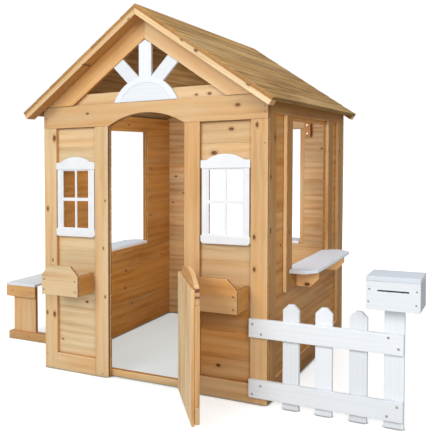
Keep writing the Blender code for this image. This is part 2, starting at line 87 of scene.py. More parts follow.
class Graph:
    """Short calls for building one node material."""

    def __init__(self, name):
        self.mat = bpy.data.materials.new(name)
        self.mat.use_nodes = True
        self.tree = self.mat.node_tree
        self.shader = self.tree.nodes["Principled BSDF"]

    def put(self, socket, value):
        if isinstance(value, bpy.types.NodeSocket):
            self.tree.links.new(value, socket)
        else:
            socket.default_value = value

    def node(self, kind, inputs=(), **props):
        made = self.tree.nodes.new("ShaderNode" + kind)
        for key, value in props.items():
            setattr(made, key, value)
        for key, value in dict(inputs).items():
            self.put(made.inputs[key], value)
        return made

    def attribute(self, name, output):
        return self.node("Attribute", attribute_name=name).outputs[output]

    def math(self, operation, a, b=0.0, c=0.0, clamp=False):
        made = self.node("Math", {0: a, 1: b, 2: c}, operation=operation)
        made.use_clamp = clamp
        return made.outputs[0]

    def layers(self, *pairs):
        """Adds up values that run from 0 to 1, each centred on zero and times its weight."""
        total = 0.0
        for value, weight in pairs:
            total = self.math("ADD", total, self.math("MULTIPLY", self.math("SUBTRACT", value, 0.5), weight))
        return total

    def average(self, a, b, share):
        """Share of a and the rest of b."""
        return self.math("ADD", self.math("MULTIPLY", a, share), self.math("MULTIPLY", b, 1.0 - share))

    def split(self, vector):
        made = self.node("SeparateXYZ", {0: vector})
        return made.outputs[0], made.outputs[1], made.outputs[2]

    def join(self, x, y, z):
        return self.node("CombineXYZ", {0: x, 1: y, 2: z}).outputs[0]

    def length(self, vector):
        return self.node("VectorMath", {0: vector}, operation="LENGTH").outputs["Value"]

    def scale(self, vector, factor):
        made = self.node("VectorMath", {0: vector}, operation="SCALE")
        self.put(made.inputs["Scale"], factor)
        return made.outputs[0]

    def stretch(self, vector, x, y, z):
        return self.node("VectorMath", {0: vector, 1: (x, y, z)}, operation="MULTIPLY").outputs[0]

    def noise(self, vector, scale=1.0, detail=3.0, rough=0.55, distortion=0.0):
        return self.node("TexNoise", {"Vector": vector, "Scale": scale, "Detail": detail,
                                      "Roughness": rough, "Distortion": distortion}).outputs[0]

    def wave(self, vector, distortion, detail=2.0, detail_scale=1.0):
        return self.node("TexWave", {"Vector": vector, "Scale": 1.0, "Distortion": distortion,
                                     "Detail": detail, "Detail Scale": detail_scale},
                         bands_direction="Y").outputs[1]

    def ramp(self, value, stops):
        made = self.node("ValToRGB", {0: value})
        bar = made.color_ramp.elements
        while len(bar) < len(stops):
            bar.new(0.5)
        for item, (place, colour) in zip(bar, stops):
            item.position = place
            item.color = (*colour, 1.0)
        return made.outputs[0]

    def remap(self, value, lo, hi, to_lo=0.0, to_hi=1.0, kind="SMOOTHSTEP"):
        return self.node("MapRange", {0: value, 1: lo, 2: hi, 3: to_lo, 4: to_hi},
                         interpolation_type=kind).outputs[0]

    def mix(self, factor, a, b, blend="MIX"):
        made = self.node("Mix", data_type="RGBA", blend_type=blend)
        self.put(made.inputs[0], factor)
        for n, value in ((6, a), (7, b)):
            self.put(made.inputs[n], (*value, 1.0) if isinstance(value, tuple) else value)
        return made.outputs[2]

    def finish(self, colour, rough, height, distance, **sockets):
        self.put(self.shader.inputs["Base Color"], colour)
        self.put(self.shader.inputs["Roughness"], rough)
        bump = self.node("Bump", {"Height": height, "Distance": distance, "Strength": 1.0})
        self.put(self.shader.inputs["Normal"], bump.outputs[0])
        for key, value in sockets.items():
            self.shader.inputs[key.replace("_", " ")].default_value = value
        return self.mat


def knot_field(g):
    """Distance from the nearest knot, in its radii, and how far the grain leans away from the knots."""
    near, lean = KNOT_FREE, 0.0
    for letter in KNOTS:
        spot = g.attribute(f"knot_{letter}", "Vector")
        size = g.length(spot)
        fade = g.math("EXPONENT", g.math("MULTIPLY", g.math("MULTIPLY", size, size), -0.10))
        near = g.math("MINIMUM", near, size)
        lean = g.math("ADD", lean, g.math("MULTIPLY", g.split(spot)[1], fade))
    return near, g.math("MULTIPLY", lean, KNOT_LEAN)


def end_grain(g, grain, y, z, pale, brown):
    """Growth rings across a sawn end, round a heart that lies outside most boards."""
    radius = g.length(g.join(g.math("ADD", y, HEART[0]), g.math("ADD", z, HEART[1]), 0.0))
    rings = g.math("MULTIPLY_ADD", g.math("SINE", g.math("MULTIPLY", radius, RINGS_PER_METRE)), 0.5, 0.5)
    cut = g.math("MULTIPLY", rings, g.noise(g.stretch(grain, 40.0, 90.0, 90.0), detail=2.0))
    return g.ramp(cut, ((0.0, pale), (0.7, brown)))


def wood(name, dark, mid, light, warm_tint, sawn_ends, rough=0.52, relief=0.00035, gloss=0.36):
    """Stained softwood: growth lines that bend round the knots, streaks, pores and end grain."""
    g = Graph(name)
    bright, warm, contrast = g.split(g.attribute("tone", "Vector"))
    near, lean = knot_field(g)
    u, v, w = g.split(g.attribute("grain", "Vector"))
    v = g.math("SUBTRACT", v, lean)
    bent = g.join(u, v, w)
    wide = g.noise(g.stretch(bent, 2.4, 11.0, 11.0), detail=2.0, rough=0.5)
    streak = g.noise(g.stretch(bent, 3.0, 46.0, 46.0), detail=5.0, rough=0.66, distortion=0.25)
    rings = g.wave(g.stretch(bent, 0.9, 9.0, 9.0), distortion=11.0, detail=2.0, detail_scale=0.45)
    pores = g.noise(g.stretch(bent, 7.0, 185.0, 185.0), detail=5.0, rough=0.66)
    eye = g.math("MULTIPLY_ADD", g.math("SINE", g.math("MULTIPLY", near, 5.5)), 0.28, 0.42)
    rings = g.mix(g.math("MULTIPLY", g.remap(near, 3.4, 1.1), 0.8), rings, eye)
    grown = g.layers((wide, 0.62), (streak, 0.56), (rings, 0.14), (pores, 0.46))
    shade = g.math("MULTIPLY_ADD", grown, contrast, 0.5)
    colour = g.ramp(shade, ((0.12, dark), (0.46, mid), (0.86, light)))
    sawn = end_grain(g, bent, v, w, *sawn_ends)
    colour = g.mix(g.math("MULTIPLY", g.attribute("end", "Fac"), 0.75), colour, sawn)
    # stain, which soaks in unevenly, with the tone's warmth and brightness, which also carry painted light
    # and shade; then the rubbed edges, lightened for wear and as a painted highlight
    patch = g.noise(g.stretch(bent, 2.6, 17.0, 17.0), detail=2.0, rough=0.5)
    warm = g.math("ADD", warm, g.layers((patch, 0.9)), clamp=True)
    colour = g.mix(warm, colour, g.mix(1.0, colour, warm_tint, blend="MULTIPLY"))
    colour = g.scale(colour, bright)
    worn = g.remap(g.noise(g.stretch(bent, 30.0, 60.0, 60.0)), 0.42, 0.62)
    rub = g.math("MULTIPLY", g.attribute("edge", "Fac"), worn)
    colour = g.mix(g.math("MULTIPLY", rub, 0.30), colour, light)
    # the knots, each with a darker ring round its heart
    heart = g.noise(g.stretch(bent, 160.0, 160.0, 160.0), detail=3.0)
    knot_colour = g.ramp(heart, ((0.30, KNOT_DARK), (0.62, KNOT_LIGHT)))
    colour = g.mix(g.remap(near, 2.3, 0.9, 0.0, 0.45), colour, KNOT_RIM)
    colour = g.mix(g.remap(near, 1.12, 0.82), colour, knot_colour)
    roughness = g.remap(pores, 0.2, 0.8, rough - 0.09, rough + 0.13, "LINEAR")
    height = g.average(pores, streak, 0.55)
    height = g.math("SUBTRACT", height, g.remap(near, 1.15, 0.9, 0.0, 0.35))
    return g.finish(colour, roughness, height, relief, Specular_IOR_Level=gloss)


def paint(name, low, high, rough=0.40):
    """White paint over softwood: faint raised grain, brush lines and a little wear on the edges."""
    g = Graph(name)
    bent = g.attribute("grain", "Vector")
    bright, cool_shade, _ = g.split(g.attribute("tone", "Vector"))
    grain = g.noise(g.stretch(bent, 1.8, 55.0, 55.0), detail=4.0, rough=0.6, distortion=0.25)
    rings = g.wave(g.stretch(bent, 0.6, 19.0, 19.0), distortion=7.0, detail_scale=0.8)
    brush = g.noise(g.stretch(bent, 9.0, 330.0, 330.0), detail=2.0, rough=0.6)
    colour = g.scale(g.ramp(g.average(grain, rings, 0.70), ((0.25, low), (0.65, high))), bright)
    # the tone's cool value tints faces bluish: painted shade
    colour = g.mix(cool_shade, colour, g.mix(1.0, colour, SHADE_TINT, blend="MULTIPLY"))
    patch = g.noise(g.stretch(bent, 22.0, 46.0, 46.0), detail=4.0, rough=0.7)
    worn = g.math("MULTIPLY", g.attribute("edge", "Fac"), g.remap(patch, 0.60, 0.72))
    colour = g.mix(g.math("MULTIPLY", worn, 0.55), colour, BARE_WOOD)
    ends = g.math("MULTIPLY", g.attribute("end", "Fac"), 0.35)
    colour = g.mix(g.math("MULTIPLY", ends, patch), colour, tuple(0.86 * c for c in low))
    roughness = g.remap(brush, 0.25, 0.75, rough - 0.06, rough + 0.12, "LINEAR")
    return g.finish(colour, roughness, g.average(grain, brush, 0.6), 0.00016, Specular_IOR_Level=0.45)


def plastic(name, low, high):
    """Moulded white plastic: satin, with flow marks and fine dust in the skin."""
    g = Graph(name)
    place = g.node("TexCoord").outputs["Object"]
    cloud = g.noise(place, scale=14.0, detail=3.0)
    skin = g.noise(place, scale=900.0, detail=2.0)
    colour = g.ramp(cloud, ((0.30, low), (0.70, high)))
    rub = g.math("MULTIPLY", g.attribute("edge", "Fac"), g.remap(g.noise(place, scale=60.0), 0.5, 0.7))
    colour = g.mix(g.math("MULTIPLY", rub, 0.25), colour, tuple(0.84 * c for c in low))
    roughness = g.remap(g.noise(place, scale=160.0, detail=4.0), 0.3, 0.7, 0.30, 0.44, "LINEAR")
    return g.finish(colour, roughness, skin, 0.00006, Specular_IOR_Level=0.5)


def steel(name, low, high, tarnish):
    """Plated steel: blotchy plating, fine scratches and a little tarnish."""
    g = Graph(name)
    place = g.node("TexCoord").outputs["Object"]
    blotch = g.noise(place, scale=380.0, detail=4.0, rough=0.7)
    scratch = g.noise(g.stretch(place, 2600.0, 2600.0, 220.0), detail=2.0)
    colour = g.ramp(blotch, ((0.34, low), (0.66, high)))
    spots = g.remap(g.noise(place, scale=210.0, detail=3.0), 0.55, 0.70)
    colour = g.mix(g.math("MULTIPLY", spots, 0.7), colour, tarnish)
    roughness = g.remap(scratch, 0.3, 0.7, 0.30, 0.55, "LINEAR")
    g.put(g.shader.inputs["Metallic"], g.remap(spots, 0.0, 1.0, 0.95, 0.45, "LINEAR"))
    return g.finish(colour, roughness, g.math("ADD", blotch, scratch), 0.00005)


CEDAR = wood("cedar", (0.53, 0.350, 0.170), (0.70, 0.535, 0.315), (0.79, 0.650, 0.440), (1.0, 0.58, 0.21),
             ((0.70, 0.535, 0.315), (0.38, 0.250, 0.120)))
ROOF = wood("roof_cedar", (0.40, 0.255, 0.105), (0.62, 0.430, 0.200), (0.80, 0.600, 0.325), (1.0, 0.78, 0.52),
            ((0.98, 0.66, 0.34), (0.78, 0.46, 0.20)), 0.72, 0.00005, 0.18)
WHITE = paint("white_paint", (0.785, 0.815, 0.85), (0.812, 0.842, 0.875))
PLASTIC = plastic("white_plastic", (0.80, 0.815, 0.835), (0.86, 0.870, 0.885))
ZINC = steel("zinc_steel", (0.40, 0.41, 0.42), (0.72, 0.73, 0.74), (0.30, 0.28, 0.25))
DULL = steel("dull_steel", (0.13, 0.13, 0.13), (0.30, 0.30, 0.30), (0.12, 0.09, 0.06))
BRASSY = steel("yellow_zinc", (0.24, 0.16, 0.08), (0.44, 0.32, 0.18), (0.12, 0.07, 0.035))


# ---- boards
def at(axis, a, b, c):
    """Plane values a, b and depth c as a point: depth along the named axis."""
    return {"x": Vector((c, a, b)), "y": Vector((a, c, b)), "z": Vector((a, b, c))}[axis]


AXES = {"x": Vector((1, 0, 0)), "y": Vector((0, 1, 0)), "z": Vector((0, 0, 1))}
FAR = Vector((60.0, 60.0, 0.0))          # where a knot that a board doesn't have is put, in radii
KNOT_LONG, KNOT_WIDE, FACING = 1.5, 0.9, 0.7
# A tone is brightness, warmth and contrast, then the narrow faces' brightness factor and added warmth, which
# are these where a tone doesn't say. Tones carry painted light and shade: pieces in shade get darker, warmer
# tones, and the narrow-face values darken and warm narrow faces in shade and brighten those that light falls
# on.
PAINTED_SIDE, WOOD_NARROW_SHADE = (1.0, 0.0), (0.60, 1.10)


class Piece:
    """One visible piece made of boards. Every board keeps its own grain, tone and knots."""

    def __init__(self, name, material, body="house", replaces=(), matrix=None, tone=(1.0, 0.2, 1.0)):
        self.name, self.material, self.body = name, material, body
        self.nodes, self.matrix, self.tone = replaces, matrix, tone
        self.points, self.polygons, self.count = [], [], 0
        self.point_data = {"grain": [], **{f"knot_{letter}": [] for letter in KNOTS}}
        self.face_data = {"edge": [], "end": []}
        self.face_tone = []

    def take(self, bm, along, normal, middle, edge_faces, tone, knots):
        """Adds one finished board and works out its grain, tone and knot values."""
        draw = random.Random(f"{self.name}/{self.count}")
        self.count += 1
        across = normal.cross(along)
        offset = Vector((draw.uniform(-9, 9), draw.uniform(-4, 4), draw.uniform(-2, 2)))
        base = tone or self.tone
        bright, warm = base[0] * draw.uniform(0.955, 1.045), base[1] + draw.uniform(-0.10, 0.10)
        contrast = base[2] * draw.uniform(0.85, 1.15)
        narrow_light, narrow_warmth = base[3:] or (PAINTED_SIDE if self.material is WHITE else WOOD_NARROW_SHADE)
        spots = [((spot - middle).dot(along), (spot - middle).dot(across), r) for spot, r in knots]
        first = len(self.points)
        bm.verts.index_update()
        for vert in bm.verts:
            rel = vert.co - middle
            u, v, w = rel.dot(along), rel.dot(across), rel.dot(normal)
            self.point_data["grain"].append(Vector((u, v, w)) + offset)
            for n, letter in enumerate(KNOTS):
                spot = FAR
                if n < len(spots):
                    su, sv, r = spots[n]
                    spot = Vector(((u - su) / (KNOT_LONG * r), (v - sv) / (KNOT_WIDE * r), 0.0))
                self.point_data[f"knot_{letter}"].append(spot)
            point = self.matrix @ vert.co if self.matrix else vert.co
            self.points.append(point + ORIGIN)
        for face in bm.faces:
            self.polygons.append([first + v.index for v in face.verts])
            self.face_data["edge"].append(1.0 if face in edge_faces else 0.0)
            self.face_data["end"].append(1.0 if abs(face.normal.dot(along)) > FACING else 0.0)
            wide = face in edge_faces or abs(face.normal.dot(normal)) > FACING
            # narrow faces take painted light and shade: a brightness factor and added warmth
            lit, stain_and_shade = (bright, warm) if wide else (bright * narrow_light, warm + narrow_warmth)
            self.face_tone += [lit, min(1.0, max(0.0, stain_and_shade)), contrast]
        bm.free()

    def make(self):
        mesh = bpy.data.meshes.new(self.name)
        mesh.from_pydata(self.points, [], self.polygons)
        mesh.validate()
        for name, rows in self.point_data.items():
            field = mesh.attributes.new(name, "FLOAT_VECTOR", "POINT")
            field.data.foreach_set("vector", [c for row in rows for c in row])
        mesh.attributes.new("tone", "FLOAT_VECTOR", "FACE").data.foreach_set("vector", self.face_tone)
        for name, rows in self.face_data.items():
            field = mesh.attributes.new(name, "FLOAT", "FACE")
            field.data.foreach_set("value", rows)
        mesh.polygons.foreach_set("use_smooth", [e > 0.5 for e in self.face_data["edge"]])
        mesh.materials.append(self.material)
        obj = put_in_scene(self.name, mesh)
        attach(obj, self.body)
        if self.nodes:
            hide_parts(*self.nodes)


def rect(a0, a1, b0, b1):
    """Corners of a rectangle."""
    return [(a0, b0), (a1, b0), (a1, b1), (a0, b1)]


def arc(cx, cz, r, a0, a1, n):
    """Points of a circular arc between two angles in degrees."""
    steps = [math.radians(a0 + (a1 - a0) * i / n) for i in range(n + 1)]
    return [(cx + r * math.cos(t), cz + r * math.sin(t)) for t in steps]


def crown(x0, x1, z_end, z_top, n):
    """A shallow arch from x0 to x1 through z_top at the middle."""
    half, rise = abs(x1 - x0) / 2, z_top - z_end
    r = (half * half + rise * rise) / (2 * rise)
    a = math.degrees(math.asin(half / r))
    first, last = (90 + a, 90 - a) if x0 < x1 else (90 - a, 90 + a)
    return arc((x0 + x1) / 2, z_top - r, r, first, last, n)


def plate(piece, axis, outline, lo, hi, along, holes=(), bevel=0.0012, steps=2, tone=None, knots=(),
          wide=None):
    """A board cut to an outline, standing from lo to hi along axis, with its edges rounded.
    wide is the way its wide face looks, as plane values, where that isn't the axis."""
    bm = bmesh.new()
    edges = []
    for loop in (outline, *holes):
        ring = [bm.verts.new(at(axis, a, b, lo)) for a, b in loop]
        edges += [bm.edges.new((ring[i], ring[(i + 1) % len(ring)])) for i in range(len(ring))]
    if holes:
        bmesh.ops.triangle_fill(bm, edges=edges, use_beauty=True, normal=AXES[axis])
    else:
        bm.faces.new(bm.verts)
    grown = bmesh.ops.extrude_face_region(bm, geom=bm.faces[:])
    moved = [g for g in grown["geom"] if isinstance(g, bmesh.types.BMVert)]
    bmesh.ops.translate(bm, verts=moved, vec=AXES[axis] * (hi - lo))
    bmesh.ops.recalc_face_normals(bm, faces=bm.faces)
    if holes:
        bmesh.ops.dissolve_limit(bm, angle_limit=0.01, verts=bm.verts, edges=bm.edges)
    sharp = [e for e in bm.edges if len(e.link_faces) == 2 and e.calc_face_angle(0.0) > 0.45]
    done = bmesh.ops.bevel(bm, geom=sharp, offset=bevel, offset_type="OFFSET", segments=steps,
                           profile=0.6, affect="EDGES", clamp_overlap=True)
    rounded = set(done["faces"])
    bm.normal_update()
    direction = AXES[along] if isinstance(along, str) else at(axis, along[0], along[1], 0).normalized()
    normal = at(axis, *wide, 0.0) if wide else AXES[axis]
    count = len(outline)
    depth = (lo + hi) / 2
    middle = at(axis, sum(p[0] for p in outline) / count, sum(p[1] for p in outline) / count, depth)
    spots = [(at(axis, a, b, depth), r) for a, b, r in knots]
    piece.take(bm, direction, normal, middle, rounded, tone, spots)


def bar(piece, xs, ys, zs, along, **more):
    """A plain straight board given by its box."""
    thin = min((xs[1] - xs[0], "x"), (ys[1] - ys[0], "y"), (zs[1] - zs[0], "z"))[1]
    spans = {"x": xs, "y": ys, "z": zs}
    a, b = {"x": ("y", "z"), "y": ("x", "z"), "z": ("x", "y")}[thin]
    plate(piece, thin, rect(*spans[a], *spans[b]), *spans[thin], along, **more)


def node_bar(piece, node, along, **more):
    """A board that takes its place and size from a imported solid's box."""
    lo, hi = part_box(node)
    lo, hi = lo - ORIGIN, hi - ORIGIN
    bar(piece, (lo.x, hi.x), (lo.y, hi.y), (lo.z, hi.z), along, **more)


def one_plate(name, node, *shape, tone, material=CEDAR, body="house", matrix=None, **more):
    """A piece that is one plate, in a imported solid's stead."""
    piece = Piece(name, material, body, [node], matrix, tone)
    plate(piece, *shape, **more)
    piece.make()


def one_board(name, node, along, tone, material=CEDAR, body="house", **more):
    """A piece that is one straight board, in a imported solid's place and size."""
    piece = Piece(name, material, body, [node], tone=tone)
    node_bar(piece, node, along, **more)
    piece.make()


def minus(a0, a1, b0, b1, holes, sliver=0.003):
    """Outlines of a rectangle with the first hole that crosses it taken out, leaving no sliver."""
    for h0, h1, k0, k1 in holes:
        if k0 > b1 - sliver or k1 < b0 + sliver:
            continue
        if k0 <= b0 + sliver and k1 >= b1 - sliver:
            return [rect(a0, h0, b0, b1), rect(h1, a1, b0, b1)]
        if k1 >= b1 - sliver:
            return [[(a0, b0), (a1, b0), (a1, b1), (h1, b1), (h1, k0), (h0, k0), (h0, b1), (a0, b1)]]
        return [[(a0, b0), (h0, b0), (h0, k1), (h1, k1), (h1, b0), (a1, b0), (a1, b1), (a0, b1)]]
    return [rect(a0, a1, b0, b1)]


def siding(piece, axis, a0, a1, z0, z1, lo, hi, holes, knots=(), wild=0.0, low_tone=None):
    """Rows of boards with a V groove where two meet. wild is the chance of a knot of their own."""
    seams = [SEAM0 + k * PITCH for k in range(-3, 14)]
    rows = [z0] + [s for s in seams if z0 + 0.01 < s < z1 - 0.01] + [z1]
    for n, (b0, b1) in enumerate(zip(rows, rows[1:])):
        draw = random.Random(f"{piece.name}:{n}")
        own = [k for k in knots if b0 <= k[1] < b1]
        if not own and draw.random() < wild:
            for _ in range(draw.choice((1, 1, 2))):
                own.append((draw.uniform(a0 + 0.03, a1 - 0.03), draw.uniform(b0 + 0.015, b1 - 0.012),
                            draw.uniform(0.003, 0.0065)))
        shade = draw.uniform(0.94, 1.05)
        base = low_tone if low_tone and b1 < LOW_ROWS else piece.tone
        for outline in minus(a0, a1, b0, b1, holes):
            plate(piece, axis, outline, lo, hi, "x" if axis == "y" else "y", bevel=0.0017, steps=1,
                  tone=(base[0] * shade, *base[1:]), knots=own)


# ---- screws
HEAD_RISE, HEAD_SINK, RECESS = 0.0004, 0.0016, 0.0012


def screw(piece, point, radius, turn):
    """A countersunk head with a cross recess, its face a little proud, looking to the front."""
    bm = bmesh.new()

    def ring(r, z, n=20):
        return [bm.verts.new((x, y, z)) for x, y in arc(0, 0, r, 0, 360 - 360 / n, n - 1)]

    outer = ring(radius * 0.86, HEAD_RISE)
    s, t = radius * 0.56, radius * 0.15
    cross = [(t, t), (t, s), (-t, s), (-t, t), (-s, t), (-s, -t), (-t, -t), (-t, -s), (t, -s), (t, -t),
             (s, -t), (s, t)]
    inner = [bm.verts.new((x, y, HEAD_RISE)) for x, y in cross]
    edges = [bm.edges.new((r[i], r[(i + 1) % len(r)])) for r in (outer, inner) for i in range(len(r))]
    bmesh.ops.triangle_fill(bm, edges=edges, use_beauty=True, normal=(0, 0, 1))
    rim = ring(radius, 0.0)
    skirt = ring(radius * 0.6, -HEAD_SINK)
    floor = [bm.verts.new((x * 0.7, y * 0.7, -RECESS)) for x, y in cross]
    for a, b in ((outer, rim), (rim, skirt), (floor, inner)):
        for i in range(len(a)):
            j = (i + 1) % len(a)
            bm.faces.new((a[i], b[i], b[j], a[j]))
    bm.faces.new(reversed(skirt))
    bm.faces.new(floor)
    facing = Vector((0, -1, 0)).to_track_quat("Z", "Y").to_matrix().to_4x4()
    place = Matrix.Translation(point) @ facing @ Matrix.Rotation(turn, 4, "Z")
    bmesh.ops.transform(bm, matrix=place, verts=bm.verts)
    bmesh.ops.recalc_face_normals(bm, faces=bm.faces)
    bm.normal_update()
    piece.take(bm, AXES["z"], AXES["y"], point, set(), None, ())


def screws(name, material, spots, y, body="house", matrix=None, radius=0.0036):
    """One piece holding a group of screw heads, given by x and z, in a front face at depth y."""
    piece = Piece(name, material, body=body, matrix=matrix)
    for n, (x, z) in enumerate(spots):
        screw(piece, Vector((x, y, z)), radius, turn=0.35 + 0.7 * n)
    piece.make()


# ---- front wall
# LIT and RIGHT_LIT are tones for lit pieces and SHADY one for pieces in shade: painted light and shade, SHADY
# darker and warmer with brightened narrow faces where light falls on them
LIT, RIGHT_LIT, SHADY = (1.03, 0.26, 1.1, 0.78, 0.55), (1.0, 0.36, 1.2), (0.65, 1.0, 1.7, 1.82, -0.44)
WINDOW_X = {"left": 0.160, "right": 0.8255}
WINDOW_HOLE, WINDOW_Z = 0.0715, (0.581, 0.8155)
ARCH_L, ARCH_R, ARCH_TOP = 0.324, 0.660, 1.030
skin = (BATTEN + GAP, BATTEN + GAP + BOARD)
wall_in = skin[1]

# the right front's lower rows take a darker, warmer tone: a painted shadow of the open door; the left front's
# lower rows are a little lighter
for side, span, tone, low_tone, knots in (
        ("left", (0.0, DOOR_L), (1.05, 0.13, 1.0), (1.10, 0.06, 1.1),
         [(0.080, 0.122, 0.0035), (0.205, 0.286, 0.0045), (0.262, 0.058, 0.008)]),
        ("right", (DOOR_R, WALL_W), RIGHT_LIT, (0.90, 0.76, 1.3),
         [(0.794, 0.110, 0.006), (0.843, 0.955, 0.0065), (0.775, 0.872, 0.008)])):
    cx = WINDOW_X[side]
    piece = Piece(f"front_{side}_boards", CEDAR, replaces=[f"front_{side}_siding"], tone=tone)
    siding(piece, "y", *span, 0.002, HEADER_Z - GAP, *skin,
           [(cx - WINDOW_HOLE, cx + WINDOW_HOLE, *WINDOW_Z)], knots=knots, low_tone=low_tone)
    piece.make()

# the narrow faces of the stiles take painted shade, from the last two tone values where given, darkest on the
# left door stile's face beside the doorway
for name, tone, knots in (
        ("left_stile_corner", (0.98, 0.16, 1.1, 0.82, 0.55),
         [(0.012, 0.229, 0.005), (0.050, 0.225, 0.0075), (0.042, 0.448, 0.004), (0.054, 0.946, 0.0085),
          (0.0175, 0.659, 0.006)]),
        ("left_stile_door", (1.04, 0.24, 1.1, 0.38, 1.30),
         [(0.298, 0.509, 0.0035), (0.306, 0.318, 0.004), (0.307, 0.695, 0.003)]),
        ("right_stile_corner", (0.97, 0.60, 1.2),
         [(0.947, 0.965, 0.006), (0.938, 0.579, 0.0055), (0.939, 0.468, 0.0055)]),
        ("right_stile_door", (0.98, 0.46, 1.2), [])):
    one_board(f"front_{name}_board", f"front_{name}", "z", tone=tone, bevel=0.0022, steps=3, knots=knots)
for side, tone in (("left", LIT), ("right", RIGHT_LIT)):
    one_board(f"front_{side}_foot_board", f"front_{side}_foot_rail", "x", tone=tone, bevel=0.0018)

corner = HEADER_TOP - (APEX_OUT - MID * TAN) + 0.0006
under_roof = [(WALL_W, HEADER_TOP - corner), (WALL_W - corner / TAN, HEADER_TOP), (corner / TAN, HEADER_TOP),
              (0.0, HEADER_TOP - corner)]
header = [(0.0, HEADER_Z), *crown(ARCH_L, ARCH_R, HEADER_Z, ARCH_TOP, 40), (WALL_W, HEADER_Z), *under_roof]
one_plate("front_header_board", "front_header", "y", header, 0.0, wall_in, "x", tone=(0.96, 0.45, 1.1),
          bevel=0.0015, knots=[(0.874, 1.037, 0.0065), (0.223, 1.038, 0.0045)])
one_board("door_sill_board", "door_sill", "x", tone=(0.97, 0.50, 1.0), bevel=0.0015,
          knots=[(0.372, 0.0325, 0.005)])

SILL_HALF, SILL_R, SILL_Z, SILL_TOP = 0.0965, 0.012, 0.549, 0.579
HEAD_Z, HEAD_END, HEAD_TOP, HEAD_CROWN = 0.818, 0.8465, 0.869, 0.073
CASING_HALF, CASING_Z, CASING_OPEN, CASING_OPEN_Z = 0.0925, (0.576, 0.821), 0.0725, (0.5815, 0.8150)
SASH_HALF, SASH_Z, PANE_X, PANE_HALF, PANE_ROWS = 0.0735, (0.5805, 0.8160), 0.035, 0.0305, (
    (0.5845, 0.692), (0.705, 0.8125))
PROUD, FRAME_BACK = -0.0022, 0.0130
for side, cx in WINDOW_X.items():
    piece = Piece(f"window_{side}_frame", PLASTIC, replaces=[f"window_{side}"])
    left, right = cx - SILL_HALF, cx + SILL_HALF
    sill = arc(left + SILL_R, SILL_Z + SILL_R, SILL_R, 180, 270, 8)
    sill += arc(right - SILL_R, SILL_Z + SILL_R, SILL_R, 270, 360, 8)
    sill += [(right, SILL_TOP), (left, SILL_TOP)]
    head = [(left, HEAD_Z), (right, HEAD_Z), (right, HEAD_END),
            *crown(cx + HEAD_CROWN, cx - HEAD_CROWN, HEAD_END + 0.001, HEAD_TOP, 20), (left, HEAD_END)]
    for outline in (sill, head):
        plate(piece, "y", outline, PROUD, FRAME_BACK, "x", bevel=0.0022, steps=3)
    plate(piece, "y", rect(cx - CASING_HALF, cx + CASING_HALF, *CASING_Z), 0.0008, FRAME_BACK, "z",
          holes=[rect(cx - CASING_OPEN, cx + CASING_OPEN, *CASING_OPEN_Z)], bevel=0.0018, steps=3)
    panes = [rect(cx + s * PANE_X - PANE_HALF, cx + s * PANE_X + PANE_HALF, *row)
             for s in (-1, 1) for row in PANE_ROWS]
    plate(piece, "y", rect(cx - SASH_HALF, cx + SASH_HALF, *SASH_Z), 0.0038, 0.0080, "z", holes=panes,
          bevel=0.0009)
    piece.make()

BOX_Y, BOX_L, BOX_WALL, BOX_BACK, BOX_CLIP = -0.100, 0.178, 0.012, -0.0005, 0.038
BOX_Z, BOX_SEAM, BOX_SIDE_TOP, BOX_TOP = 0.332, 0.3885, 0.410, 0.449
# each box's side boards take a darker, warmer tone: painted shade
for side, x0, tone, side_shade_tone in (("left", 0.0735, (1.02, 0.26, 0.9), (0.72, 1.0, 1.2)),
                                 ("right", 0.741, (0.90, 0.62, 0.9), (0.79, 0.95, 1.2))):
    x1, inside, clipped = x0 + BOX_L, BOX_Y + BOX_WALL, BOX_TOP - BOX_CLIP
    piece = Piece(f"flower_box_{side}_boards", CEDAR, replaces=[f"flower_box_{side}"], tone=tone)
    upper = [(x0, BOX_SEAM), (x1, BOX_SEAM), (x1, clipped), (x1 - BOX_CLIP, BOX_TOP),
             (x0 + BOX_CLIP, BOX_TOP), (x0, clipped)]
    for outline in (rect(x0, x1, BOX_Z, BOX_SEAM), upper):
        plate(piece, "y", outline, BOX_Y, inside, "x", bevel=0.0014)
    for a in (x0, x1 - BOX_WALL):
        bar(piece, (a, a + BOX_WALL), (inside, BOX_BACK), (BOX_Z, BOX_SIDE_TOP), "y", bevel=0.0012,
            tone=side_shade_tone)
    bar(piece, (x0 + BOX_WALL, x1 - BOX_WALL), (inside, BOX_BACK), (BOX_Z, BOX_Z + BOX_WALL), "x",
        bevel=0.0008)
    piece.make()
screws("flower_box_screws", DULL,
       [(0.0845, 0.352), (0.0865, 0.392), (0.2385, 0.352), (0.2375, 0.392),
        (0.752, 0.350), (0.753, 0.390), (0.906, 0.348), (0.906, 0.391)], BOX_Y)
screws("front_wall_screws", DULL,
       [(0.975, 1.028), (0.975, 1.009), (0.976, 0.903), (0.012, 1.026), (0.012, 1.006), (0.012, 0.060),
        (0.294, 0.012), (0.975, 0.045)], 0.0, radius=0.0028)

# ---- gables
TIE_TOP, RAKE_Y = 1.115, (-0.006, 0.0095)
